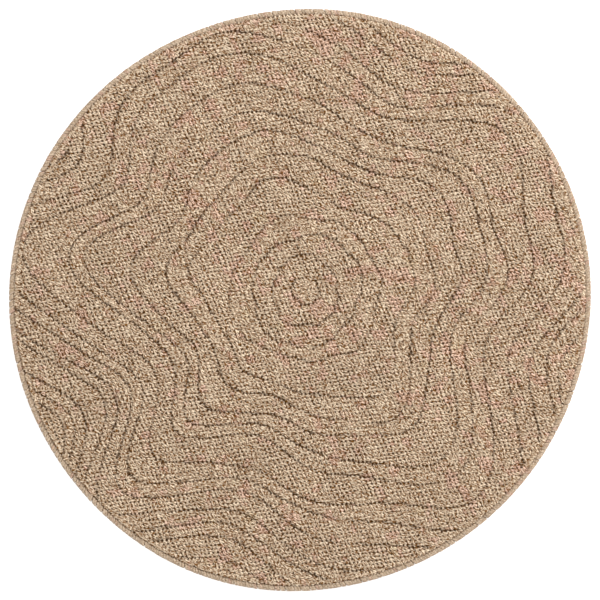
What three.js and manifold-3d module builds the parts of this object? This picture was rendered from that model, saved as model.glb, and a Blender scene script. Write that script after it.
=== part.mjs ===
// A round outdoor rug lying flat: a woven loop-pile field with sunken growth-ring lines,
// and a serged yarn edge wrapped over its rim.
// Millimetres, +Z up. The origin is on the floor, under the middle of the rug.

import * as THREE from "three";
import { mergeVertices } from "three/addons/utils/BufferGeometryUtils.js";
import Module from "manifold-3d";

// The rug as a whole
const RUG_RADIUS = 597.6; // mean radius of the slightly uneven outline
const PILE_HEIGHT = 10; // floor to the top of the loops
const TURN_STEPS = 108; // segments round the rug

// The hand-cut outline: each row adds swing * cos(waves * bearing - turn) to the radius
const OUTLINE_WAVES = [
  { waves: 1, swing: 1.7, turn: 70 },
  { waves: 2, swing: 4.2, turn: 95 },
  { waves: 3, swing: 1.8, turn: 111 },
  { waves: 4, swing: 1.4, turn: -70 },
  { waves: 6, swing: 0.7, turn: 71 },
];

// The serged edge and the rim that it wraps
const EDGE_WIDTH = 10.8; // inner edge of the binding to the outline
const EDGE_HEIGHT = 7.2;
const EDGE_WALL = 1.2; // the binding's yarn above and below the rim
const RIM_DEPTH = 7.4; // how far the pressed rim reaches under the binding
const SEAM_GAP = 0.35; // between the rim and the binding
// The binding's rounded outside, from the floor over the outline to its inner lip: shares of the
// edge's width in from the outline, and of its height
const EDGE_ROUNDING = [
  { inside: 0.3, height: 0 },
  { inside: 0.13, height: 0.06 },
  { inside: 0.03, height: 0.25 },
  { inside: 0, height: 0.5 },
  { inside: 0.06, height: 0.74 },
  { inside: 0.22, height: 0.92 },
  { inside: 0.48, height: 1 },
  { inside: 0.78, height: 0.97 },
  { inside: 1, height: 0.88 },
];

// The pile rounds down beside the binding: shares of the width in from it, and of the drop
const SHOULDER_WIDTH = 3.5;
const SHOULDER_DROP = 2.6;
const SHOULDER_ROUNDING = [
  { inside: 0, drop: 1 },
  { inside: 0.35, drop: 0.3 },
  { inside: 1, drop: 0 },
];

// The growth rings: sunken lines round a point a little up and right of the middle
const RING_CENTRE = new THREE.Vector2(11, 19);
const RING_COUNT = 17;
const RING_GAP = 44; // usual distance from line to line
const FIRST_GAP_SHARE = 0.7; // the innermost ring is smaller
const LEAST_GAP = 17;
const GROOVE_FLOOR = 6; // height of the loops in a line's bottom
const GROOVE_HALF_WIDTH = 5.2;

// Where the rings bend: each row widens the gaps of rings first to last, or narrows them where
// push is negative. bearing and spread are in degrees, and drift turns the bend a little with
// each ring.
const BENDS = [
  { bearing: 2, spread: 13, push: 0.14, first: 4, last: 17, drift: 0.4 },
  { bearing: 38, spread: 17, push: 0.24, first: 5, last: 17, drift: -0.3 },
  { bearing: 68, spread: 16, push: -0.2, first: 5, last: 15, drift: -0.4 },
  { bearing: 106, spread: 18, push: 0.2, first: 4, last: 17, drift: 0.5 },
  { bearing: 134, spread: 14, push: 0.22, first: 6, last: 17, drift: 0 },
  { bearing: 150, spread: 9, push: -0.14, first: 7, last: 17, drift: 0 },
  { bearing: 174, spread: 14, push: 0.42, first: 5, last: 17, drift: -0.3 },
  { bearing: 207, spread: 15, push: -0.34, first: 5, last: 17, drift: 0.2 },
  { bearing: 230, spread: 9, push: 0.24, first: 6, last: 17, drift: -0.5 },
  { bearing: 253, spread: 16, push: -0.28, first: 4, last: 17, drift: 0 },
  { bearing: 300, spread: 16, push: 0.3, first: 4, last: 17, drift: 1.6 },
  { bearing: 344, spread: 13, push: -0.12, first: 4, last: 17, drift: 0 },
];

// Uneven spacing from ring to ring
const RHYTHM = [
  { swing: 0.2, step: 142 },
  { swing: 0.12, step: 67 },
];
// Bands that widen and narrow on their way round, less so in the innermost rings
const WANDER = [
  { waves: 1, swing: 0.1, step: -128 },
  { waves: 2, swing: 0.2, step: 97 },
  { waves: 3, swing: 0.16, step: -155 },
  { waves: 5, swing: 0.12, step: 124 },
];
const WANDER_FULL = 5; // the ring from which on the bands wander fully
// The small waver of each line, in millimetres
const WAVER = [
  { waves: 7, swing: 2.2, step: 71 },
  { waves: 12, swing: 1.5, step: -118 },
  { waves: 19, swing: 0.9, step: 140 },
];
const WAVER_FULL = 3;

// The ring relief is first made on a blank larger than the rug, and then cut to the outline
const BLANK_RADIUS = 650;
const BLANK_SPARE = 5; // the blank reaches this far past the rug above and below
const BLANK_ROW = 0.4; // rows past the outline are packed this close

const FIELD_COLOUR = 0xae947b;
const EDGE_COLOUR = 0xb69a80;
const MERGE_DISTANCE = 1e-4;

const wasm = await Module();
wasm.setup();

const radians = THREE.MathUtils.degToRad;
const degrees = THREE.MathUtils.radToDeg;

function wave(row, bearing, index) {
  return row.swing * Math.cos(row.waves * bearing + radians(row.step * index));
}

// Radius of the outline relative to the mean, at a bearing in radians
function outlineShare(bearing) {
  const swing = OUTLINE_WAVES.reduce(
    (sum, row) => sum + row.swing * Math.cos(row.waves * bearing - radians(row.turn)),
    0,
  );
  return 1 + swing / RUG_RADIUS;
}

// A soft bump, 1 at its middle
function bell(offset, spread) {
  const wrapped = THREE.MathUtils.euclideanModulo(offset + 180, 360) - 180;
  return Math.exp(-((wrapped / spread) ** 2));
}

// Distance from ring line index - 1 to ring line index
function ringGap(index, bearing) {
  const bends = BENDS.filter((row) => index >= row.first && index <= row.last).reduce(
    (sum, row) => sum + row.push * bell(degrees(bearing) - row.bearing - row.drift * index, row.spread),
    0,
  );
  const rhythm = RHYTHM.reduce((sum, row) => sum + row.swing * Math.cos(radians(row.step * index)), 0);
  const wander = WANDER.reduce((sum, row) => sum + wave(row, bearing, index), 0);
  const growth = Math.exp(bends + rhythm + wander * Math.min(1, index / WANDER_FULL));
  return Math.max(LEAST_GAP, RING_GAP * (index === 1 ? FIRST_GAP_SHARE : 1) * growth);
}

// Distance of ring line index from the middle of the rings
function ringRadius(index, bearing) {
  let radius = 0;
  for (let step = 1; step <= index; step += 1) {
    radius += ringGap(step, bearing);
  }
  const waver = WAVER.reduce((sum, row) => sum + wave(row, bearing, index), 0);
  return radius + waver * Math.min(1, index / WAVER_FULL);
}

// How much further apart the lips are along the bearing where a line runs aslant to it
function slant(index, bearing) {
  const turn = radians(1);
  const change = ringRadius(index, bearing + turn) - ringRadius(index, bearing - turn);
  return Math.hypot(1, change / (2 * turn) / ringRadius(index, bearing));
}

function toSolid(geometry) {
  geometry.deleteAttribute("normal");
  geometry.deleteAttribute("uv");
  const merged = mergeVertices(geometry, MERGE_DISTANCE);
  const mesh = new wasm.Mesh({
    numProp: 3,
    vertProperties: new Float32Array(merged.attributes.position.array),
    triVerts: new Uint32Array(merged.index.array),
  });
  return new wasm.Manifold(mesh);
}

function toGeometry(solid) {
  const mesh = solid.getMesh();
  const geometry = new THREE.BufferGeometry();
  geometry.setAttribute("position", new THREE.BufferAttribute(mesh.vertProperties, 3));
  geometry.setIndex(new THREE.BufferAttribute(mesh.triVerts, 1));
  return geometry;
}

// Turns a profile of [distance inside the outline, height] pairs round the rug, along its outline.
// A pair with a distance of null is on the axis.
function turned(profile) {
  const points = profile.map(
    ([inside, height]) => new THREE.Vector2(inside === null ? 0 : RUG_RADIUS - inside, height),
  );
  const geometry = new THREE.LatheGeometry(points, TURN_STEPS);
  geometry.rotateX(Math.PI / 2);
  const position = geometry.attributes.position;
  for (let i = 0; i < position.count; i += 1) {
    const share = outlineShare(Math.atan2(position.getY(i), position.getX(i)));
    position.setXY(i, position.getX(i) * share, position.getY(i) * share);
  }
  return toSolid(geometry);
}

// The flat field cut round, with its rounded shoulder and the pressed rim
function fieldBlank() {
  const wall = EDGE_WIDTH + SEAM_GAP;
  const rim = EDGE_WIDTH - RIM_DEPTH;
  const rimBottom = EDGE_WALL + SEAM_GAP;
  const rimTop = EDGE_HEIGHT - EDGE_WALL - SEAM_GAP;
  return turned([
    [null, 0],
    [wall, 0],
    [wall, rimBottom],
    [rim, rimBottom],
    [rim, rimTop],
    [wall, rimTop],
    ...SHOULDER_ROUNDING.map(({ inside, drop }) => [
      wall + inside * SHOULDER_WIDTH,
      PILE_HEIGHT - drop * SHOULDER_DROP,
    ]),
    [wall + SHOULDER_WIDTH, PILE_HEIGHT + BLANK_SPARE],
    [null, PILE_HEIGHT + BLANK_SPARE],
  ]);
}

// Rows of the relief, from the middle out: each has a radius for every bearing and a height
function reliefRows() {
  const rows = [];
  for (let index = 1; index <= RING_COUNT; index += 1) {
    const line = (bearing) => ringRadius(index, bearing);
    const lip = (bearing) => GROOVE_HALF_WIDTH * slant(index, bearing);
    rows.push({ radius: (bearing) => line(bearing) - lip(bearing), height: PILE_HEIGHT });
    rows.push({ radius: line, height: GROOVE_FLOOR });
    rows.push({ radius: (bearing) => line(bearing) + lip(bearing), height: PILE_HEIGHT });
  }
  rows.push({ radius: () => Infinity, height: PILE_HEIGHT });
  return rows;
}

// A thick disc larger than the rug, whose top carries the ring lines
function relief() {
  const rows = reliefRows();
  const points = [];
  const faces = [];
  const place = (radius, bearing, height) => {
    points.push(
      RING_CENTRE.x + radius * Math.cos(bearing),
      RING_CENTRE.y + radius * Math.sin(bearing),
      height,
    );
  };
  const corner = (row, step) => 2 + row * TURN_STEPS + (step % TURN_STEPS);
  place(0, 0, PILE_HEIGHT);
  place(0, 0, -BLANK_SPARE);
  rows.forEach((row, index) => {
    for (let step = 0; step < TURN_STEPS; step += 1) {
      const bearing = (2 * Math.PI * step) / TURN_STEPS;
      place(Math.min(row.radius(bearing), BLANK_RADIUS + BLANK_ROW * index), bearing, row.height);
    }
  });
  const bottom = rows.length;
  for (let step = 0; step < TURN_STEPS; step += 1) {
    const bearing = (2 * Math.PI * step) / TURN_STEPS;
    place(BLANK_RADIUS + BLANK_ROW * bottom, bearing, -BLANK_SPARE);
  }
  for (let step = 0; step < TURN_STEPS; step += 1) {
    faces.push(0, corner(0, step), corner(0, step + 1));
    for (let row = 0; row < bottom; row += 1) {
      faces.push(corner(row, step), corner(row + 1, step), corner(row + 1, step + 1));
      faces.push(corner(row, step), corner(row + 1, step + 1), corner(row, step + 1));
    }
    faces.push(1, corner(bottom, step + 1), corner(bottom, step));
  }
  const geometry = new THREE.BufferGeometry();
  geometry.setAttribute("position", new THREE.Float32BufferAttribute(points, 3));
  geometry.setIndex(faces);
  return toSolid(geometry);
}

// The serged edge: a rounded yarn border, open on its inner side where it grips the rim
function edgeBinding() {
  const inner = EDGE_WIDTH;
  const slotEnd = EDGE_WIDTH - RIM_DEPTH - SEAM_GAP;
  const slotTop = EDGE_HEIGHT - EDGE_WALL;
  return turned([
    [inner, 0],
    ...EDGE_ROUNDING.map(({ inside, height }) => [inside * EDGE_WIDTH, height * EDGE_HEIGHT]),
    [inner, slotTop],
    [slotEnd, slotTop],
    [slotEnd, EDGE_WALL],
    [inner, EDGE_WALL],
    [inner, 0],
  ]);
}

function piece(name, solid, color) {
  const material = new THREE.MeshStandardMaterial({ color, roughness: 0.95, metalness: 0 });
  const mesh = new THREE.Mesh(toGeometry(solid), material);
  mesh.name = name;
  return mesh;
}

const group = new THREE.Group();
group.add(piece("rug_field", fieldBlank().intersect(relief()), FIELD_COLOUR));
group.add(piece("edge_binding", edgeBinding(), EDGE_COLOUR));

export default group;
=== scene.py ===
"""A round outdoor rug seen from straight above: heathered loop pile, sunken ring lines, serged edge."""

import math

import bpy
import numpy as np
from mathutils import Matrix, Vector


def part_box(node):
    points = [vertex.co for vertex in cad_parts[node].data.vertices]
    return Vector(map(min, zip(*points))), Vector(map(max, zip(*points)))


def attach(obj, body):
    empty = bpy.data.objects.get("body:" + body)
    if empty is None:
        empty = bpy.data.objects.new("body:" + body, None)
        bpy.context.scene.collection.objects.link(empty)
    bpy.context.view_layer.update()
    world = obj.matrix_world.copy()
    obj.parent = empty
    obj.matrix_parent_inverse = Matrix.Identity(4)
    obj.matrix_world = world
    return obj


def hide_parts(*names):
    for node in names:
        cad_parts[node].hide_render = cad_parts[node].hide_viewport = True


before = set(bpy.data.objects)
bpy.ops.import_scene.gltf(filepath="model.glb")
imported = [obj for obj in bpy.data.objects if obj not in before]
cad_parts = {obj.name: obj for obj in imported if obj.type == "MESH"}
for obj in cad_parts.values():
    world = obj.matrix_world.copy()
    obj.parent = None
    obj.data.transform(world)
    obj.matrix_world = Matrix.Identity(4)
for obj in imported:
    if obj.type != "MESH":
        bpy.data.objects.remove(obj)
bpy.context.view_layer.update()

FIELD_LOW, FIELD_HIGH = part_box("rug_field")
METRES = 0.001
RNG = np.random.default_rng(20)

# Sizes are in millimetres until a mesh is made, apart from those that a comment gives in metres.
PILE_HEIGHT = (FIELD_HIGH.z - FIELD_LOW.z) / METRES

# The rug's outline: each row adds swing * cos(waves * bearing - turn) to the mean radius.
RUG_RADIUS = 597.6
OUTLINE_WAVES = [
    {"waves": 1, "swing": 1.7, "turn": 70},
    {"waves": 2, "swing": 4.2, "turn": 95},
    {"waves": 3, "swing": 1.8, "turn": 111},
    {"waves": 4, "swing": 1.4, "turn": -70},
    {"waves": 6, "swing": 0.7, "turn": 71},
]
EDGE_WIDTH = 10.8

# The growth rings, laid out as on the model.
RING_CENTRE = np.array([11.0, 19.0])
RING_COUNT = 17
RING_GAP = 44
FIRST_GAP_SHARE = 0.7
LEAST_GAP = 17
GROOVE_DEPTH = 4
GROOVE_HALF_WIDTH = 5.2
GROOVE_LEAST = 0.45
BENDS = [
    {"bearing": 2, "spread": 13, "push": 0.14, "first": 4, "last": 17, "drift": 0.4},
    {"bearing": 38, "spread": 17, "push": 0.24, "first": 5, "last": 17, "drift": -0.3},
    {"bearing": 68, "spread": 16, "push": -0.2, "first": 5, "last": 15, "drift": -0.4},
    {"bearing": 106, "spread": 18, "push": 0.2, "first": 4, "last": 17, "drift": 0.5},
    {"bearing": 134, "spread": 14, "push": 0.22, "first": 6, "last": 17, "drift": 0},
    {"bearing": 150, "spread": 9, "push": -0.14, "first": 7, "last": 17, "drift": 0},
    {"bearing": 174, "spread": 14, "push": 0.42, "first": 5, "last": 17, "drift": -0.3},
    {"bearing": 207, "spread": 15, "push": -0.34, "first": 5, "last": 17, "drift": 0.2},
    {"bearing": 230, "spread": 9, "push": 0.24, "first": 6, "last": 17, "drift": -0.5},
    {"bearing": 253, "spread": 16, "push": -0.28, "first": 4, "last": 17, "drift": 0},
    {"bearing": 300, "spread": 16, "push": 0.3, "first": 4, "last": 17, "drift": 1.6},
    {"bearing": 344, "spread": 13, "push": -0.12, "first": 4, "last": 17, "drift": 0},
]
RHYTHM = [
    {"swing": 0.2, "step": 142},
    {"swing": 0.12, "step": 67},
]
WANDER = [
    {"waves": 1, "swing": 0.1, "step": -128},
    {"waves": 2, "swing": 0.2, "step": 97},
    {"waves": 3, "swing": 0.16, "step": -155},
    {"waves": 5, "swing": 0.12, "step": 124},
]
WANDER_FULL = 5
WAVER = [
    {"waves": 7, "swing": 2.2, "step": 71},
    {"waves": 12, "swing": 1.5, "step": -118},
    {"waves": 19, "swing": 0.9, "step": 140},
]
WAVER_FULL = 3
TABLE_STEPS = 1440

# How far loops are pushed off a ring line, and how the gap comes and goes along it.
LINE_PUSH = 1.65
LINE_REACH = 5
LINE_LEAST = 0.85
LINE_BREAKS = {"mean": 0.85, "swing": 0.22, "size": 22, "least": 0.35, "most": 1.2}

# Smooth random values: a square grid out to a reach, blurred.
NOISE_REACH = 620
NOISE_BLUR = np.exp(-np.linspace(-2, 2, 9) ** 2)

# The ground cloth that the loops stand in, from its wall to a small ring round its centre, and its rim,
# pressed up inside the edge yarn.
GROUND_TOP = 3.6
GROUND_STEPS = 240
GROUND_ROWS = 12
GROUND_WALL = EDGE_WIDTH + 1.8
GROUND_CENTRE = 8
RIM_IN = 3.6
RIM_PATH = [
    {"inside": EDGE_WIDTH + 0.6, "height": 1.7},
    {"inside": RIM_IN, "height": 1.9},
    {"inside": RIM_IN - 0.4, "height": 3.55},
    {"inside": RIM_IN, "height": 5.1},
    {"inside": EDGE_WIDTH, "height": 4.8},
]

# The weave: two steps of the lattice of loops, and its slow unevenness. The count of steps comes from
# LATTICE_STEP, which is shorter than both, so the lattice passes the rim before it is cut.
LATTICE_STEP = 5
LATTICE_SPARE = 5
STEP_ACROSS = np.array([8.2, 1.15])
STEP_DOWN = np.array([3.0, -7.47])
WEAVE_DRIFT = [
    {"wave": (0.012, 0.031), "swing": (0.9, -0.6), "turn": 0.4},
    {"wave": (-0.036, 0.017), "swing": (0.5, 0.8), "turn": 2.1},
    {"wave": (0.058, 0.044), "swing": (-0.5, 0.4), "turn": 4.4},
    {"wave": (0.075, 0.05), "swing": (0.8, 0.4), "turn": 1.2},
    {"wave": (-0.05, 0.09), "swing": (0.7, 0.3), "turn": 5.1},
    {"wave": (0.11, -0.03), "swing": (0.4, 0.3), "turn": 3.3},
]

# One loop of pile. Rings are shares of the half span, drops from the top in millimetres.
LOOP_BEARING = 59
GRAIN = np.array([math.cos(math.radians(LOOP_BEARING)), math.sin(math.radians(LOOP_BEARING))])
LOOP_HALF_PITCH = math.hypot(*(STEP_ACROSS - STEP_DOWN)) / 2
LOOP_SIDE_PITCH = math.hypot(*(STEP_ACROSS + STEP_DOWN)) / 2
LOOP_HALF_SPAN = 3.2
LOOP_HALF_WIDTH = 5.0
LOOP_HALF_THICKNESS = 2.2
LOOP_ROOT = 1.6
LOOP_ROOT_ALONG = 0.9
LOOP_RINGS = [
    {"along": -0.9, "drop": 0.7, "tilt": 62, "size": 0.85, "twist": 10},
    {"along": -0.6, "drop": 0.0, "tilt": 14, "size": 1.0, "twist": 6},
    {"along": 0.6, "drop": 0.0, "tilt": -14, "size": 1.0, "twist": -6},
    {"along": 0.9, "drop": 0.7, "tilt": -62, "size": 0.85, "twist": -10},
]
LOOP_SECTION = [
    {"angle": 90, "reach": 0.95},
    {"angle": 135, "reach": 1.25},
    {"angle": 188, "reach": 1.0},
    {"angle": 270, "reach": 0.8},
    {"angle": 352, "reach": 1.0},
    {"angle": 45, "reach": 1.25},
]
EDGE_SPARE = 4.9
EDGE_OVER = 2.5
PILE_PIECES = 5

# How uneven the loops are: everywhere, and more in the loose bands.
LOOSE_WAVES = [
    {"swing": 1.0, "waves": 0, "step": 2.4, "turn": 1.0},
    {"swing": 0.8, "waves": 2, "step": 1.7, "turn": 0.0},
    {"swing": 0.5, "waves": 5, "step": -2.9, "turn": 0.0},
]
LOOSE_MIDDLE = 0.2
LOOSE_STEEP = 1.6
BEARING_SPREAD = {"even": 7, "loose": 14}
PLACE_SPREAD = {"even": 0.25, "loose": 0.4}
HEIGHT_SPREAD = {"even": 0.22, "loose": 0.35}
CALM_REACH = 12
CALM_LEAST = 0.3
TOP_SPARE = 0.3
SIZE_SPREAD = 0.05
SIZE_LOOSE = 0.04
SPAN_SPREAD = 0.04
RING_SHIFT = 0.036
DROP_SPREAD = 0.12

# Tints of the loops: pink and straw patches, and brightness.
PINK = {"size": 9.5, "grain": 0.35, "rare": 1.15, "lean": 0.3, "steep": 7}
PINK_SIDE = np.array([0.7, 0.7])
STRAW = {"size": 12, "rare": 2.2, "steep": 6}
TONE = {"grain": 0.03, "swing": 0.02, "size": 30}
PINK_TINT = (1.02, 0.9, 0.94, 1)
STRAW_TINT = (0.99, 0.99, 0.94, 1)

# The yarn's twist and fibres, for its material. Bump distances are in metres.
YARN_RADIUS = 3.0
TWIST_LENGTH = 12
PLIES = 4
PLY_POWER = 0.6
PLY_SHIFT = 40.0
# The ply groove is painted shade where the plies meet.
PLY_GROOVE = {"deep": 0.2, "clear": 0.7, "share": 0.3}
PLY_BUMP = {"distance": 0.0008, "strength": 0.8}
FIBRE_STRETCH = (0.35, 2.4, 2.4)
FIBRE_DETAIL = 3.0
FIBRE_ROUGHNESS = 0.6
FIBRE_TONES = (0.28, 0.72, 0.88, 1.12)
FIBRE_MATT = (0.2, 0.8, 0.92, 0.74)
FIBRE_BUMP = {"distance": 0.0005, "strength": 0.5}
LOT_SHIFT = (300.0, 170.0, 230.0)
LOT_RUN = 900.0
FLECK_LENGTH = 2.4
FLECKS_AROUND = 1.7
FLECK_EDGE = (0.46, 0.54)
STRAY_FIBRES = 0.35
SPECULAR = 0.03
SHEEN = {"weight": 0.02, "tint": (0.8, 0.62, 0.45, 1), "roughness": 0.5}

# Painted shade in the yarn: spots in the nooks, a mark across each loop, ring lines, flanks and roots.
NOOK_HALF_LENGTH = 1.65
NOOK_HALF_WIDTH = 2.15
NOOK_EDGE = 0.12
NOOK_LOOSE_LOSS = 0.5
NOOK_SPREAD = 0.15
NOOK_LEAST = 0.2
MARK_CORE = 0.6
MARK_RIM = 1.6
LINE_CORE = 0.9
LINE_RIM = 2.4
LINE_JITTER = 1.1
LINE_SHADE = 0.36
LINE_SHADE_RANGE = (0.4, 1.6)
LINE_SHADE_MOST = 0.8
FLANK_START = 0.7 * YARN_RADIUS
ROOT_SHARE = 0.9

# Colours are display colours of 0 to 255. Root heights and bump distances are in metres.
# In both yarns the root colour is painted shade, mixed in by the root, on the flanks, in the nooks and at
# the ring lines.
PILE_YARN = {
    "light": (253, 234, 209),
    "dark": (129, 88, 45),
    "root": (70, 38, 3),
    "root_start": 0.008,
    "root_end": 0.004,
    "flank": 0.0,
    "mark": 0.15,
}
EDGE_YARN = {
    "light": (234, 215, 193),
    "dark": (176, 148, 122),
    "root": (116, 84, 54),
    "root_start": 0.0065,
    "root_end": 0.0025,
    "flank": 0.7,
    "mark": 0.0,
}
# The ground cloth's dark brown is partly its own colour and partly painted shade where it shows between the
# loops.
GROUND_YARN = {"light": (128, 90, 58), "dark": (100, 66, 38), "least": 0.7, "roughness": 0.95}
GROUND_THREADS = 160.0
GROUND_WAVER = 0.6
GROUND_WEAR = {"scale": 90.0, "detail": 3.0}
GROUND_BUMP = {"distance": 0.0004, "strength": 0.7}

# The serged edge: yarn wrapped over the rim, from its inner lip on top round to below.
WRAP_PITCH = 6.1
WRAP_HALF_WIDTH = 2.9
WRAP_HALF_THICKNESS = 0.9
WRAP_SLANT = 30
WRAP_TWIST = 24
WRAP_WIDTH_SPREAD = 0.12
WRAP_SLANT_SPREAD = 0.12
WRAP_SWELL = 0.25
WRAP_SWELL_OUT = 0.6
WRAP_SWELL_ABOVE = 2
WRAP_PINK = 0.12
WRAP_STRAW = 0.06
WRAP_TINT_LEAST = 0.4
WRAP_TONE_SPREAD = 0.05
WRAP_PATH = [
    {"inside": 12.4, "height": 3.2},
    {"inside": 10.9, "height": 5.2},
    {"inside": 8.6, "height": 6.15},
    {"inside": 5.6, "height": 6.3},
    {"inside": 3.0, "height": 5.8},
    {"inside": 1.4, "height": 4.7},
    {"inside": 1.0, "height": 3.3},
    {"inside": 1.6, "height": 1.9},
    {"inside": 3.4, "height": 1.0},
    {"inside": 7.0, "height": 0.95},
    {"inside": 11.0, "height": 0.95},
]
WRAP_SECTION = [
    {"angle": 90, "reach": 0.82},
    {"angle": 128, "reach": 1.0},
    {"angle": 172, "reach": 1.0},
    {"angle": 225, "reach": 0.95},
    {"angle": 270, "reach": 0.95},
    {"angle": 315, "reach": 0.95},
    {"angle": 8, "reach": 1.0},
    {"angle": 52, "reach": 1.0},
]

# Camera, light and floor. The view width, the camera's far limit and the lamp's distance and size are in
# metres, the lens, its sensor and the floor in millimetres.
CAMERA_LENS = 200
CAMERA_SENSOR = 36
CAMERA_FAR = 50
VIEW_WIDTH = 1.2313
KEY_BEARING = 43
KEY_ELEVATION = 46
KEY_DISTANCE = 5.8
KEY_SIZE = 1.3
KEY_POWER = 180
KEY_COLOUR = (1.0, 0.985, 0.96)
ROOM_COLOUR = (1, 0.97, 0.92, 1)
ROOM_STRENGTH = 0.745
FLOOR_COLOUR = (0.95, 0.95, 0.95, 1)
FLOOR_ROUGHNESS = 0.9
FLOOR_GLOW = {"colour": (1, 1, 1, 1), "strength": 0.6}
FLOOR_REACH = 6000.0
FLOOR_HEIGHT = -0.2


def wave(row, bearing, index):
    """One wave round the rug, turned a step further for each ring line."""
    return row["swing"] * np.cos(row["waves"] * bearing + math.radians(row["step"] * index))


def outline(bearing):
    """Distance of the rug's outline from its middle."""
    swings = []
    for row in OUTLINE_WAVES:
        swings.append(row["swing"] * np.cos(row["waves"] * bearing - math.radians(row["turn"])))
    return RUG_RADIUS + sum(swings)


def bell(offset, spread):
    """1 at no offset, falling to 0 on both sides, for offsets in degrees."""
    wrapped = (offset + 180) % 360 - 180
    return np.exp(-((wrapped / spread) ** 2))


def ring_gap(index, bearing):
    """Distance from ring line index - 1 to ring line index."""
    degrees = np.degrees(bearing)
    growth = sum(row["swing"] * math.cos(math.radians(row["step"] * index)) for row in RHYTHM)
    for row in BENDS:
        if row["first"] <= index <= row["last"]:
            offset = degrees - row["bearing"] - row["drift"] * index
            growth = growth + row["push"] * bell(offset, row["spread"])
    wander = sum(wave(row, bearing, index) for row in WANDER)
    growth = growth + wander * min(1, index / WANDER_FULL)
    first = FIRST_GAP_SHARE if index == 1 else 1
    return np.maximum(LEAST_GAP, RING_GAP * first * np.exp(growth))


def ring_table():
    """Radius and slant of each ring line for every bearing of a full turn."""
    bearing = np.linspace(0, 2 * np.pi, TABLE_STEPS + 1)
    radii = []
    reached = 0
    for index in range(1, RING_COUNT + 1):
        reached = reached + ring_gap(index, bearing)
        waver = sum(wave(row, bearing, index) for row in WAVER)
        radii.append(reached + waver * min(1, index / WAVER_FULL))
    radii = np.array(radii)
    change = np.gradient(radii, bearing, axis=1)
    return bearing, radii, np.hypot(1, change / radii)


def nearest_line(points):
    """For each point: distance to its nearest ring line, outward positive, the way out, band and bearing."""
    bearing, radii, slants = ring_table()
    from_centre = points - RING_CENTRE
    reach = np.hypot(from_centre[:, 0], from_centre[:, 1])
    at = np.arctan2(from_centre[:, 1], from_centre[:, 0]) % (2 * np.pi)
    lines = np.array([np.interp(at, bearing, row) for row in radii])
    slant = np.array([np.interp(at, bearing, row) for row in slants])
    distance = (reach - lines) / slant
    nearest = np.abs(distance).argmin(axis=0)
    pick = (nearest, np.arange(len(points)))
    turn = np.gradient(radii, bearing, axis=1) / radii
    lean = np.array([np.interp(at, bearing, row) for row in turn])[pick]
    length = np.hypot(1, lean)
    out = np.stack([np.cos(at) + lean * np.sin(at), np.sin(at) - lean * np.cos(at)], axis=1)
    return distance[pick], out / length[:, None], (reach > lines).sum(axis=0), at


def soft_noise(points, size):
    """Smooth random values of about unit spread at the points, with blobs of the given size."""
    step = size / 2
    count = int(2 * NOISE_REACH / step) + 2
    grid = RNG.standard_normal((count, count))
    for axis in (0, 1):
        grid = np.apply_along_axis(lambda line: np.convolve(line, NOISE_BLUR, "same"), axis, grid)
    grid /= grid.std()
    place = (points + NOISE_REACH) / step
    low = np.clip(place.astype(int), 0, count - 2)
    part = place - low
    x, y = low[:, 0], low[:, 1]
    near = grid[y, x] * (1 - part[:, 0]) + grid[y, x + 1] * part[:, 0]
    far = grid[y + 1, x] * (1 - part[:, 0]) + grid[y + 1, x + 1] * part[:, 0]
    return near * (1 - part[:, 1]) + far * part[:, 1]


def soft_step(value, steep):
    """0 far below zero and 1 far above it, with a soft step between."""
    return 1 / (1 + np.exp(-steep * value))


def unevenness(spread, loose):
    return spread["even"] + spread["loose"] * loose


def column(rows, name):
    return np.array([row[name] for row in rows], dtype=float)


def strands(middles, across, out, section, spread, twist):
    """Closed strands of yarn: a tip, rings of the section round the path, and a tip.

    middles is (strands, rings + 2, 3); across and out are (strands, rings, 3), in the ring's plane;
    spread is (strands, rings, 2), its half width and half thickness; twist is in degrees by ring.
    """
    angle = np.radians(column(section, "angle")[None, :] + np.asarray(twist)[:, None])
    reach = column(section, "reach")
    side = (spread[:, :, 0:1] * (np.cos(angle) * reach)[None])[..., None]
    lift = (spread[:, :, 1:2] * (np.sin(angle) * reach)[None])[..., None]
    rings = middles[:, 1:-1, None, :] + across[:, :, None, :] * side + out[:, :, None, :] * lift
    count, ring_count, corner_count = rings.shape[:3]
    points = np.concatenate(
        [middles[:, :1], rings.reshape(count, ring_count * corner_count, 3), middles[:, -1:]], axis=1
    )
    steps = np.linalg.norm(np.diff(middles, axis=1), axis=2)
    along = np.concatenate([np.zeros((count, 1)), steps.cumsum(axis=1)], axis=1)
    inner = np.broadcast_to(along[:, 1:-1, None, None], side.shape)
    circle = np.stack([np.cos(angle), np.sin(angle)], axis=2) * YARN_RADIUS
    circle = np.broadcast_to(circle[None], (count, ring_count, corner_count, 2))
    threads = np.concatenate([inner, circle], axis=3).reshape(count, ring_count * corner_count, 3)
    first = np.zeros((count, 1, 3))
    last = np.zeros((count, 1, 3))
    last[:, 0, 0] = along[:, -1]
    threads = np.concatenate([first, threads, last], axis=1)
    return points, threads


def strand_faces(ring_count, corner_count):
    """Quads of the rings and triangles of the two tips, for one strand."""
    quads = []
    tips = []
    last = 1 + ring_count * corner_count
    for corner in range(corner_count):
        beside = (corner + 1) % corner_count
        for ring in range(ring_count - 1):
            here = 1 + ring * corner_count
            there = here + corner_count
            quads.append((here + corner, here + beside, there + beside, there + corner))
        end = last - corner_count
        tips.append((0, 1 + beside, 1 + corner))
        tips.append((last, end + corner, end + beside))
    return np.array(quads), np.array(tips)


def repeat_faces(faces, count, point_count):
    shift = np.arange(count) * point_count
    return (faces[None] + shift[:, None, None]).reshape(-1, faces.shape[1])


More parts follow.
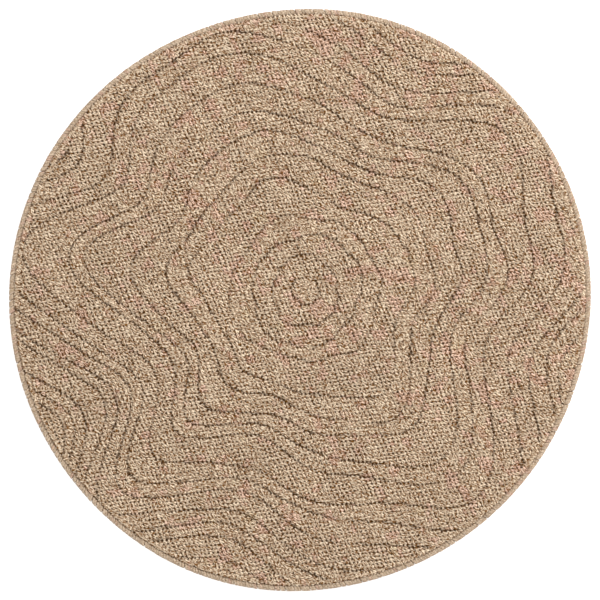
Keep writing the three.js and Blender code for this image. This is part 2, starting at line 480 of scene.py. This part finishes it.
def add_mesh(name, points, face_groups, material):
    """A smooth mesh object from points in millimetres and groups of faces of one size each."""
    mesh = bpy.data.meshes.new(name)
    mesh.vertices.add(len(points))
    mesh.vertices.foreach_set("co", (points * METRES).astype(np.float32).ravel())
    corners = np.concatenate([group.ravel() for group in face_groups])
    sizes = np.concatenate([np.full(len(group), group.shape[1]) for group in face_groups])
    starts = np.concatenate([[0], sizes.cumsum()[:-1]])
    mesh.loops.add(len(corners))
    mesh.loops.foreach_set("vertex_index", corners.astype(np.int32))
    mesh.polygons.add(len(sizes))
    mesh.polygons.foreach_set("loop_start", starts.astype(np.int32))
    mesh.update(calc_edges=True)
    mesh.shade_smooth()
    mesh.materials.append(material)
    piece = bpy.data.objects.new(name, mesh)
    bpy.context.scene.collection.objects.link(piece)
    return piece


def add_values(piece, name, values):
    """A number or a vector for each point, for the materials to read."""
    if values.ndim == 2:
        layer = piece.data.attributes.new(name, "FLOAT_VECTOR", "POINT")
        layer.data.foreach_set("vector", values.astype(np.float32).ravel())
    else:
        layer = piece.data.attributes.new(name, "FLOAT", "POINT")
        layer.data.foreach_set("value", values.astype(np.float32))


def colour(red, green, blue):
    """A display colour of 0 to 255 as the linear colour that nodes take."""
    shares = np.array([red, green, blue]) / 255
    linear = np.where(shares <= 0.04045, shares / 12.92, ((shares + 0.055) / 1.055) ** 2.4)
    return (*(float(x) for x in linear), 1.0)


class Nodes:
    """A material's node tree, with short ways to add the nodes that the yarns need."""

    def __init__(self, name):
        self.material = bpy.data.materials.new(name)
        self.material.use_nodes = True
        self.tree = self.material.node_tree
        self.shader = self.tree.nodes["Principled BSDF"]

    def put(self, socket, value):
        if isinstance(value, bpy.types.NodeSocket):
            self.tree.links.new(value, socket)
        elif value is not None:
            socket.default_value = value

    def add(self, kind, **settings):
        node = self.tree.nodes.new(kind)
        for name, value in settings.items():
            setattr(node, name, value)
        return node

    def value(self, name):
        return self.add("ShaderNodeAttribute", attribute_name=name).outputs["Fac"]

    def vector(self, name):
        return self.add("ShaderNodeAttribute", attribute_name=name).outputs["Vector"]

    def place(self):
        return self.add("ShaderNodeTexCoord").outputs["Object"]

    def parts(self, vector):
        split = self.add("ShaderNodeSeparateXYZ")
        self.put(split.inputs[0], vector)
        return split.outputs

    def math(self, operation, first, second=None):
        node = self.add("ShaderNodeMath", operation=operation)
        self.put(node.inputs[0], first)
        self.put(node.inputs[1], second)
        return node.outputs[0]

    def spread(self, value, low, high, to_low=0.0, to_high=1.0):
        node = self.add("ShaderNodeMapRange", interpolation_type="SMOOTHSTEP")
        for socket, number in zip(node.inputs, (value, low, high, to_low, to_high)):
            self.put(socket, number)
        return node.outputs[0]

    def stretched(self, vector, scale):
        node = self.add("ShaderNodeVectorMath", operation="MULTIPLY")
        self.put(node.inputs[0], vector)
        self.put(node.inputs[1], scale)
        return node.outputs[0]

    def twisted(self, vector, angle):
        node = self.add("ShaderNodeVectorRotate", rotation_type="X_AXIS")
        self.put(node.inputs["Vector"], vector)
        self.put(node.inputs["Angle"], angle)
        return node.outputs[0]

    def noise(self, vector, scale, detail=2.0, roughness=0.5, dimensions="3D"):
        node = self.add("ShaderNodeTexNoise", noise_dimensions=dimensions)
        self.put(node.inputs["Vector"], vector)
        self.put(node.inputs["Scale"], scale)
        self.put(node.inputs["Detail"], detail)
        self.put(node.inputs["Roughness"], roughness)
        return node.outputs["Fac"]

    def mix(self, factor, first, second, blend="MIX"):
        node = self.add("ShaderNodeMix", data_type="RGBA", blend_type=blend)
        self.put(node.inputs["Factor"], factor)
        self.put(node.inputs["A"], first)
        self.put(node.inputs["B"], second)
        return node.outputs["Result"]

    def brighter(self, tint, amount):
        node = self.add("ShaderNodeVectorMath", operation="SCALE")
        self.put(node.inputs[0], tint)
        self.put(node.inputs["Scale"], amount)
        return node.outputs[0]

    def bump(self, height, size, below=None):
        node = self.add("ShaderNodeBump")
        self.put(node.inputs["Height"], height)
        self.put(node.inputs["Distance"], size["distance"])
        self.put(node.inputs["Strength"], size["strength"])
        self.put(node.inputs["Normal"], below)
        return node.outputs["Normal"]

    def finish(self, tint, normal, roughness):
        self.put(self.shader.inputs["Base Color"], tint)
        self.put(self.shader.inputs["Normal"], normal)
        self.put(self.shader.inputs["Roughness"], roughness)
        return self.material


def twist(nodes, lot, along):
    """How far the yarn has turned at a distance along it: half of the strands turn the other way."""
    hand = nodes.math("SUBTRACT", nodes.math("MULTIPLY", nodes.math("ROUND", lot), 2.0), 1.0)
    turn = nodes.math("MULTIPLY", along, 2 * math.pi / TWIST_LENGTH)
    return nodes.math("MULTIPLY", turn, hand)


def fine_fibres(nodes, threads, lot, turn):
    """Fine fibres that wind round a strand, different on every strand."""
    shifted = nodes.add("ShaderNodeVectorMath", operation="ADD")
    nodes.put(shifted.inputs[0], nodes.twisted(threads, turn))
    nodes.put(shifted.inputs[1], nodes.brighter(LOT_SHIFT, lot))
    stretched = nodes.stretched(shifted.outputs[0], FIBRE_STRETCH)
    return nodes.noise(stretched, 1.0, FIBRE_DETAIL, FIBRE_ROUGHNESS)


def flecks(nodes, along, around, lot, fine):
    """Long flecks that wind with the plies, their edges broken up by the fibres."""
    skin = nodes.add("ShaderNodeCombineXYZ")
    run = nodes.math("ADD", along, nodes.math("MULTIPLY", lot, LOT_RUN))
    nodes.put(skin.inputs["X"], nodes.math("DIVIDE", run, FLECK_LENGTH))
    nodes.put(skin.inputs["Y"], nodes.math("MULTIPLY", around, FLECKS_AROUND))
    stray = nodes.math("MULTIPLY", nodes.math("SUBTRACT", fine, 0.5), STRAY_FIBRES)
    return nodes.math("ADD", nodes.noise(skin.outputs[0], 1.0, 0.0, dimensions="2D"), stray)


def fibres(nodes):
    """Ply ridges, flecks and fine fibres that wind round a strand, and distance from its middle."""
    threads = nodes.vector("threads")
    lot = nodes.value("lot")
    along, across, up = nodes.parts(threads)
    turn = twist(nodes, lot, along)
    fine = fine_fibres(nodes, threads, lot, turn)
    around = nodes.math("SUBTRACT", nodes.math("ARCTAN2", across, up), turn)
    fleck = flecks(nodes, along, around, lot, fine)
    phase = nodes.math("MULTIPLY", around, PLIES / 2)
    phase = nodes.math("ADD", phase, nodes.math("MULTIPLY", lot, PLY_SHIFT))
    ply = nodes.math("POWER", nodes.math("ABSOLUTE", nodes.math("COSINE", phase)), PLY_POWER)
    return ply, fleck, fine, nodes.math("ABSOLUTE", across)


def nook_spot(nodes, along, across):
    """1 inside the spot round a nook, 0 outside it, from the distances to its middle."""
    along = nodes.math("DIVIDE", along, NOOK_HALF_LENGTH)
    across = nodes.math("DIVIDE", across, NOOK_HALF_WIDTH)
    squares = nodes.math("ADD", nodes.math("MULTIPLY", along, along), nodes.math("MULTIPLY", across, across))
    return nodes.spread(nodes.math("SQRT", squares), 1 - NOOK_EDGE, 1 + NOOK_EDGE, 1.0, 0.0)


def nook_shade(nodes):
    """Painted shade: dark spots where the yarn dives, at both ends of a loop and at its sides."""
    ahead, aside, deep = nodes.parts(nodes.vector("nook"))
    to_end = nodes.math("SUBTRACT", LOOP_HALF_PITCH, nodes.math("ABSOLUTE", ahead))
    to_side = nodes.math("SUBTRACT", LOOP_SIDE_PITCH, nodes.math("ABSOLUTE", aside))
    spot = nodes.math("MAXIMUM", nook_spot(nodes, to_end, aside), nook_spot(nodes, ahead, to_side))
    return nodes.math("MULTIPLY", spot, deep)


def cross_shade(nodes, share):
    """Painted shade: a faint dark mark across the middle of each loop, where its plies cross."""
    ahead = nodes.parts(nodes.vector("nook"))["X"]
    return nodes.spread(nodes.math("ABSOLUTE", ahead), MARK_CORE, MARK_RIM, share, 0.0)


def groove_shade(nodes):
    """Painted shade on the flanks of the ring lines."""
    line = nodes.parts(nodes.vector("line"))
    near = nodes.spread(nodes.math("ABSOLUTE", line["X"]), LINE_CORE, LINE_RIM, 1.0, 0.0)
    return nodes.math("MULTIPLY", near, line["Y"])


def root_shade(nodes, yarn):
    """Painted shade: darker towards the root, by height over the floor."""
    height = nodes.parts(nodes.place())["Z"]
    return nodes.spread(height, yarn["root_end"], yarn["root_start"], ROOT_SHARE, 0.0)


# Painted shade in the grooves between the plies.
def ply_shade(nodes, ply):
    return nodes.spread(ply, PLY_GROOVE["deep"], PLY_GROOVE["clear"], PLY_GROOVE["share"], 0.0)


# Painted shade on the flanks of a strand, away from its middle.
def flank_shade(nodes, side, yarn):
    return nodes.spread(side, FLANK_START, YARN_RADIUS, 0.0, yarn["flank"])


def yarn_tint(nodes, yarn, ply, fleck, fine, side):
    """Light and dark fibres, some strands pinkish or straw, with painted shade at the root, on the flanks,
    in the ply grooves, across each loop, in the nooks and at the ring lines.
    """
    light, dark, root = (colour(*yarn[name]) for name in ("light", "dark", "root"))
    tint = nodes.mix(nodes.spread(fleck, *FLECK_EDGE), dark, light)
    tint = nodes.mix(nodes.value("pink"), tint, PINK_TINT, "MULTIPLY")
    tint = nodes.mix(nodes.value("straw"), tint, STRAW_TINT, "MULTIPLY")
    tint = nodes.mix(ply_shade(nodes, ply), tint, dark)
    tint = nodes.brighter(tint, nodes.spread(fine, *FIBRE_TONES))
    tint = nodes.brighter(tint, nodes.value("tone"))
    tint = nodes.mix(root_shade(nodes, yarn), tint, root)
    tint = nodes.mix(flank_shade(nodes, side, yarn), tint, root)
    tint = nodes.mix(cross_shade(nodes, yarn["mark"]), tint, dark)
    tint = nodes.mix(nook_shade(nodes), tint, root)
    return nodes.mix(groove_shade(nodes), tint, root)


def yarn_material(name, yarn):
    """Matt heathered yarn, with bumps for its plies and fibres."""
    nodes = Nodes(name)
    ply, fleck, fine, side = fibres(nodes)
    tint = yarn_tint(nodes, yarn, ply, fleck, fine, side)
    normal = nodes.bump(ply, PLY_BUMP, nodes.bump(fine, FIBRE_BUMP))
    nodes.shader.inputs["Specular IOR Level"].default_value = SPECULAR
    nodes.shader.inputs["Sheen Weight"].default_value = SHEEN["weight"]
    nodes.shader.inputs["Sheen Tint"].default_value = SHEEN["tint"]
    nodes.shader.inputs["Sheen Roughness"].default_value = SHEEN["roughness"]
    return nodes.finish(tint, normal, nodes.spread(fine, *FIBRE_MATT))


def ground_material():
    """The woven ground cloth: crossing threads in dark beige, partly the cloth's own colour and partly
    painted shade where it shows between the loops, with painted shade between the threads.
    """
    nodes = Nodes("ground_weave")
    place = nodes.place()
    over = nodes.add("ShaderNodeTexWave", bands_direction="X")
    under = nodes.add("ShaderNodeTexWave", bands_direction="Y")
    for wave_node in (over, under):
        nodes.put(wave_node.inputs["Vector"], place)
        nodes.put(wave_node.inputs["Scale"], GROUND_THREADS)
        nodes.put(wave_node.inputs["Distortion"], GROUND_WAVER)
    weave = nodes.math("MAXIMUM", over.outputs["Fac"], under.outputs["Fac"])
    worn = nodes.noise(place, GROUND_WEAR["scale"], GROUND_WEAR["detail"])
    tint = nodes.mix(worn, colour(*GROUND_YARN["dark"]), colour(*GROUND_YARN["light"]))
    tint = nodes.brighter(tint, nodes.spread(weave, 0.0, 1.0, GROUND_YARN["least"], 1.0))
    return nodes.finish(tint, nodes.bump(weave, GROUND_BUMP), GROUND_YARN["roughness"])


def turned(profile, steps):
    """Rows of points round the rug for a profile of (distance inside the outline, height) pairs."""
    bearing = np.arange(steps) * 2 * np.pi / steps
    rim = outline(bearing)
    rows = []
    for inside, height in profile:
        reach = rim - inside if inside < RUG_RADIUS else np.zeros(steps)
        x, y = reach * np.cos(bearing), reach * np.sin(bearing)
        rows.append(np.stack([x, y, np.full(steps, height)], axis=1))
    return np.concatenate(rows)


def ground_cloth():
    """The thin cloth under the pile, with its rim pressed up inside the edge yarn."""
    reaches = np.linspace(GROUND_WALL, RUG_RADIUS - GROUND_CENTRE, GROUND_ROWS)
    profile = [(inside, 0.0) for inside in reaches[::-1]]
    profile += [(row["inside"], row["height"]) for row in RIM_PATH]
    profile += [(inside, GROUND_TOP) for inside in reaches]
    ring_points = turned(profile, GROUND_STEPS)
    middles = np.array([[0, 0, 0.0], [0, 0, GROUND_TOP]])
    points = np.concatenate([ring_points, middles])
    step = np.arange(GROUND_STEPS)
    beside = (step + 1) % GROUND_STEPS
    quads = []
    for row in range(len(profile) - 1):
        here = row * GROUND_STEPS
        there = here + GROUND_STEPS
        quads.append(np.stack([here + step, here + beside, there + beside, there + step], axis=1))
    low, high = len(ring_points), len(ring_points) + 1
    top = (len(profile) - 1) * GROUND_STEPS
    fans = [
        np.stack([np.full(GROUND_STEPS, low), beside, step], axis=1),
        np.stack([np.full(GROUND_STEPS, high), top + step, top + beside], axis=1),
    ]
    faces = [np.concatenate(quads), np.concatenate(fans)]
    return add_mesh("ground_cloth", points, faces, ground_material())


def loop_places():
    """Middles of the loops on the gently uneven lattice, out to a little past the rug's rim."""
    reach = int(RUG_RADIUS / LATTICE_STEP)
    i, j = np.meshgrid(np.arange(-reach, reach), np.arange(-reach, reach))
    points = i.reshape(-1, 1) * STEP_ACROSS + j.reshape(-1, 1) * STEP_DOWN
    points = points[np.hypot(points[:, 0], points[:, 1]) < RUG_RADIUS + LATTICE_SPARE]
    drift = np.zeros_like(points)
    for row in WEAVE_DRIFT:
        phase = points @ np.array(row["wave"]) + row["turn"]
        drift += np.sin(phase)[:, None] * np.array(row["swing"])
    return points + drift


def inside_edge(points):
    """Draws the outermost loops in to one even distance from the binding, and tells which loops to keep."""
    reach = np.hypot(points[:, 0], points[:, 1])
    spare = outline(np.arctan2(points[:, 1], points[:, 0])) - EDGE_WIDTH - reach
    inwards = np.maximum(0, EDGE_SPARE - spare) / np.maximum(reach, 1)
    return points * (1 - inwards[:, None]), spare > -EDGE_OVER


def line_strength(points, out):
    """How far the line near each point is open: less where it runs with the loops, and uneven along it."""
    crossing = np.abs(out @ GRAIN)
    broken = LINE_BREAKS["mean"] + LINE_BREAKS["swing"] * soft_noise(points, LINE_BREAKS["size"])
    broken = np.clip(broken, LINE_BREAKS["least"], LINE_BREAKS["most"])
    return (LINE_LEAST + (1 - LINE_LEAST) * crossing) * broken


def open_lines(points, distance, out):
    """Pushes loops off the ring lines, so that each line is a narrow, broken gap."""
    side = np.where(distance < 0, -1, 1)
    strength = line_strength(points, out)
    push = LINE_PUSH * strength * np.exp(-((distance / LINE_REACH) ** 2)) * side
    return points + out * push[:, None], distance + push, strength


def looseness(band, at):
    """0 in the even bands and up to 1 in the loose ones, changing round the rug and from band to band."""
    swing = 0
    for row in LOOSE_WAVES:
        swing = swing + row["swing"] * np.sin(row["waves"] * at + band * row["step"] + row["turn"])
    return soft_step(swing - LOOSE_MIDDLE, LOOSE_STEEP)


def loop_frames(points, loose, top):
    """Paths, ring planes and widths of all loops."""
    count = len(points)
    turn = RNG.normal(0, 1, count) * unevenness(BEARING_SPREAD, loose)
    bearing = np.radians(LOOP_BEARING + turn)
    along = np.stack([np.cos(bearing), np.sin(bearing), np.zeros(count)], axis=1)
    across = np.stack([-np.sin(bearing), np.cos(bearing), np.zeros(count)], axis=1)
    size = 1 + RNG.normal(0, SIZE_SPREAD, count) + SIZE_LOOSE * loose
    half_span = LOOP_HALF_SPAN * size * (1 + RNG.normal(0, SPAN_SPREAD, count))
    place = column(LOOP_RINGS, "along")[None, :] + RNG.normal(0, RING_SHIFT, (count, 1))
    drop = column(LOOP_RINGS, "drop")[None, :] * (1 + RNG.normal(0, DROP_SPREAD, (count, 1)))
    share = column(LOOP_RINGS, "size")
    tilt = np.radians(column(LOOP_RINGS, "tilt"))
    middle = np.concatenate([points, np.zeros((count, 1))], axis=1)
    rings = middle[:, None, :] + along[:, None, :] * (place * half_span[:, None])[..., None]
    rings[:, :, 2] = (top - LOOP_HALF_THICKNESS * size)[:, None] - drop
    to_root = along * (half_span * LOOP_ROOT_ALONG)[:, None]
    first = middle - to_root
    last = middle + to_root
    first[:, 2] = LOOP_ROOT
    last[:, 2] = LOOP_ROOT
    middles = np.concatenate([first[:, None], rings, last[:, None]], axis=1)
    out = -along[:, None, :] * np.sin(tilt)[None, :, None]
    out = out + np.array([0, 0, 1.0]) * np.cos(tilt)[None, :, None]
    across = np.repeat(across[:, None, :], len(LOOP_RINGS), axis=1)
    width = LOOP_HALF_WIDTH * size[:, None] * share
    thickness = LOOP_HALF_THICKNESS * size[:, None] * share
    return middles, across, out, np.stack([width, thickness], axis=2)


def loop_nooks(shape, points, loose):
    """Each point's place in the weave, along and across the loops, and how strong the painted shade in the
    nooks by it is.
    """
    offset = shape[:, :, :2] - points[:, None, :]
    ahead = offset @ GRAIN
    aside = offset @ np.array([-GRAIN[1], GRAIN[0]])
    deep = 1.0 - NOOK_LOOSE_LOSS * loose + RNG.normal(0, NOOK_SPREAD, len(points))
    deep = np.clip(deep, NOOK_LEAST, 1)
    return np.stack([ahead, aside, np.repeat(deep[:, None], shape.shape[1], axis=1)], axis=2)


def loop_lines(shape, points, distance, out, strength):
    """Each point's distance from the ring line nearest to its loop, and how strong the painted shade along
    that line is, more where the line is open.
    """
    offset = shape[:, :, :2] - points[:, None, :]
    reach = distance + RNG.normal(0, LINE_JITTER, len(points))
    reach = reach[:, None] + (offset * out[:, None, :]).sum(axis=2)
    share = LINE_SHADE * strength * RNG.uniform(*LINE_SHADE_RANGE, len(points))
    line_shade_share = np.repeat(np.minimum(share, LINE_SHADE_MOST)[:, None], shape.shape[1], axis=1)
    return np.stack([reach, line_shade_share, np.zeros_like(reach)], axis=2)


def pile_tints(points):
    """How pink, how straw and how bright each loop is."""
    blotch = soft_noise(points, PINK["size"]) + PINK["grain"] * RNG.standard_normal(len(points))
    lean = PINK["lean"] * (points @ PINK_SIDE) / RUG_RADIUS
    pink = soft_step(blotch - PINK["rare"] + lean, PINK["steep"])
    straw = soft_step(soft_noise(points, STRAW["size"]) - STRAW["rare"], STRAW["steep"])
    tone = 1 + TONE["grain"] * RNG.standard_normal(len(points))
    tone = tone + TONE["swing"] * soft_noise(points, TONE["size"])
    return {"pink": pink, "straw": straw, "tone": tone}


def placed_loops():
    """Middles of the loops, and for each its distance from a line, the way out, looseness and strength."""
    points = loop_places()
    distance, out, band, at = nearest_line(points)
    points, distance, strength = open_lines(points, distance, out)
    loose = looseness(band, at)
    calm = np.clip(np.abs(distance) / CALM_REACH, CALM_LEAST, 1)
    stray = unevenness(PLACE_SPREAD, loose) * calm
    points = points + RNG.normal(0, 1, points.shape) * stray[:, None]
    points, keep = inside_edge(points)
    return points[keep], distance[keep], out[keep], loose[keep], strength[keep]


def loop_tops(distance, loose, strength):
    """Heights of the loops: lower in the ring lines, and uneven."""
    sunk = np.maximum(0, 1 - np.abs(distance) / GROOVE_HALF_WIDTH)
    sunk = sunk * (GROOVE_LEAST + (1 - GROOVE_LEAST) * np.minimum(strength, 1))
    uneven = RNG.normal(0, 1, len(distance)) * unevenness(HEIGHT_SPREAD, loose)
    return PILE_HEIGHT - GROOVE_DEPTH * sunk + uneven - TOP_SPARE


def pile_piece(number, chosen, by_point, by_loop, material):
    """One joined piece of the chosen loops, with their values for the material."""
    shape = by_point["shape"][chosen]
    count, point_count = shape.shape[:2]
    quads, tips = strand_faces(len(LOOP_RINGS), len(LOOP_SECTION))
    faces = [repeat_faces(quads, count, point_count), repeat_faces(tips, count, point_count)]
    piece = add_mesh(f"pile_rows_{number}", shape.reshape(-1, 3), faces, material)
    for name in ("threads", "nook", "line"):
        add_values(piece, name, by_point[name][chosen].reshape(-1, 3))
    add_values(piece, "lot", np.repeat(RNG.uniform(0, 1, count), point_count))
    for name, values in by_loop.items():
        add_values(piece, name, np.repeat(values[chosen], point_count))
    return piece


def pile_loops(material):
    """All loops of the pile, as a few joined pieces from one side of the rug to the other."""
    points, distance, out, loose, strength = placed_loops()
    top = loop_tops(distance, loose, strength)
    by_loop = pile_tints(points)
    middles, across, outs, spread = loop_frames(points, loose, top)
    shape, threads = strands(middles, across, outs, LOOP_SECTION, spread, column(LOOP_RINGS, "twist"))
    by_point = {
        "shape": shape,
        "threads": threads,
        "nook": loop_nooks(shape, points, loose),
        "line": loop_lines(shape, points, distance, out, strength),
    }
    order = np.argsort(points @ STEP_DOWN, kind="stable")
    pieces = []
    for number, chosen in enumerate(np.array_split(order, PILE_PIECES), 1):
        pieces.append(pile_piece(number, chosen, by_point, by_loop, material))
    return pieces


def wrap_middles(widths):
    """Bearings and points along each turn of the edge yarn, for turns of the given relative widths."""
    count = len(widths)
    bearing = 2 * np.pi * (widths.cumsum() - widths / 2) / widths.sum()
    inside = column(WRAP_PATH, "inside")
    height = column(WRAP_PATH, "height")
    lead = (inside[0] - inside) * math.tan(math.radians(WRAP_SLANT)) / RUG_RADIUS
    lead = lead * (1 + RNG.normal(0, WRAP_SLANT_SPREAD, (count, 1)))
    turn = bearing[:, None] + lead
    swell = RNG.normal(0, WRAP_SWELL, (count, 1))
    reach = outline(turn) - inside[None, :] + swell * WRAP_SWELL_OUT
    lift = np.broadcast_to(height[None, :], reach.shape) + np.where(height > WRAP_SWELL_ABOVE, 1, 0) * swell
    return turn, np.stack([reach * np.cos(turn), reach * np.sin(turn), lift], axis=2)


def wrap_frames(turn, middles):
    """Ring planes of the turns: round the rug, and out from the yarn's path."""
    ahead = middles[:, 2:] - middles[:, :-2]
    ahead /= np.linalg.norm(ahead, axis=2, keepdims=True)
    round_rug = np.stack([-np.sin(turn), np.cos(turn), np.zeros_like(turn)], axis=2)[:, 1:-1]
    across = round_rug - ahead * (round_rug * ahead).sum(axis=2, keepdims=True)
    across /= np.linalg.norm(across, axis=2, keepdims=True)
    return across, np.cross(ahead, across)


def some_turns(share, count):
    """How strong a tint is on each turn: none on most, and a random strength on the given share."""
    chosen = RNG.uniform(0, 1, count) < share
    return chosen * RNG.uniform(WRAP_TINT_LEAST, 1, count)


def serged_edge(material):
    """Yarn wrapped side by side over the rug's rim, slanting as it goes outwards."""
    count = int(2 * np.pi * RUG_RADIUS / WRAP_PITCH)
    widths = 1 + RNG.normal(0, WRAP_WIDTH_SPREAD, count)
    turn, middles = wrap_middles(widths)
    across, out = wrap_frames(turn, middles)
    half_width = WRAP_HALF_WIDTH * np.repeat(widths[:, None], out.shape[1], axis=1)
    spread = np.stack([half_width, np.full_like(half_width, WRAP_HALF_THICKNESS)], axis=2)
    twists = np.linspace(-WRAP_TWIST, WRAP_TWIST, out.shape[1])
    shape, threads = strands(middles, across, out, WRAP_SECTION, spread, twists)
    quads, tips = strand_faces(out.shape[1], len(WRAP_SECTION))
    point_count = shape.shape[1]
    faces = [repeat_faces(quads, count, point_count), repeat_faces(tips, count, point_count)]
    piece = add_mesh("serged_edge", shape.reshape(-1, 3), faces, material)
    add_values(piece, "threads", threads.reshape(-1, 3))
    add_values(piece, "pink", np.repeat(some_turns(WRAP_PINK, count), point_count))
    add_values(piece, "straw", np.repeat(some_turns(WRAP_STRAW, count), point_count))
    add_values(piece, "lot", np.repeat(RNG.uniform(0, 1, count), point_count))
    add_values(piece, "tone", np.repeat(1 + RNG.normal(0, WRAP_TONE_SPREAD, count), point_count))
    return piece


def floor():
    """A plain pale floor just under the rug."""
    nodes = Nodes("floor_white")
    nodes.put(nodes.shader.inputs["Base Color"], FLOOR_COLOUR)
    nodes.put(nodes.shader.inputs["Roughness"], FLOOR_ROUGHNESS)
    nodes.put(nodes.shader.inputs["Emission Color"], FLOOR_GLOW["colour"])
    nodes.put(nodes.shader.inputs["Emission Strength"], FLOOR_GLOW["strength"])
    sides = np.array([[-1, -1], [1, -1], [1, 1], [-1, 1]]) * FLOOR_REACH
    corners = np.concatenate([sides, np.full((4, 1), FLOOR_HEIGHT)], axis=1)
    plane = add_mesh("floor", corners, [np.array([[0, 1, 2, 3]])], nodes.material)


def key_light():
    """A large soft lamp from the upper right, and an even white room."""
    lamp = bpy.data.lights.new("key", "AREA")
    lamp.shape = "DISK"
    lamp.size = KEY_SIZE
    lamp.energy = KEY_POWER
    lamp.color = KEY_COLOUR
    holder = bpy.data.objects.new("key", lamp)
    bearing, elevation = math.radians(KEY_BEARING), math.radians(KEY_ELEVATION)
    level = math.cos(elevation)
    way = np.array([level * math.cos(bearing), level * math.sin(bearing), math.sin(elevation)])
    holder.location = way * KEY_DISTANCE
    holder.rotation_euler = (0, math.pi / 2 - elevation, bearing)
    bpy.context.scene.collection.objects.link(holder)
    world = bpy.data.worlds.new("studio")
    world.use_nodes = True
    background = world.node_tree.nodes["Background"]
    background.inputs["Color"].default_value = ROOM_COLOUR
    background.inputs["Strength"].default_value = ROOM_STRENGTH
    bpy.context.scene.world = world


def camera():
    """Straight above the rug, far enough away to see it nearly without perspective."""
    lens = bpy.data.cameras.new("camera")
    lens.lens = CAMERA_LENS
    lens.sensor_width = CAMERA_SENSOR
    holder = bpy.data.objects.new("camera", lens)
    distance = VIEW_WIDTH * CAMERA_LENS / CAMERA_SENSOR
    holder.location = (0, 0, distance + PILE_HEIGHT * METRES)
    lens.clip_end = CAMERA_FAR
    bpy.context.scene.collection.objects.link(holder)
    bpy.context.scene.camera = holder
    bpy.context.scene.view_settings.view_transform = "Standard"


camera()
key_light()
floor()

pile_yarn = yarn_material("pile_yarn", PILE_YARN)
edge_yarn = yarn_material("edge_yarn", EDGE_YARN)

cloth = ground_cloth()
pile = pile_loops(pile_yarn)
edge = serged_edge(edge_yarn)

for piece in [cloth, *pile]:
    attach(piece, "root")
    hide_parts("rug_field")
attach(edge, "root")
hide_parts("edge_binding")
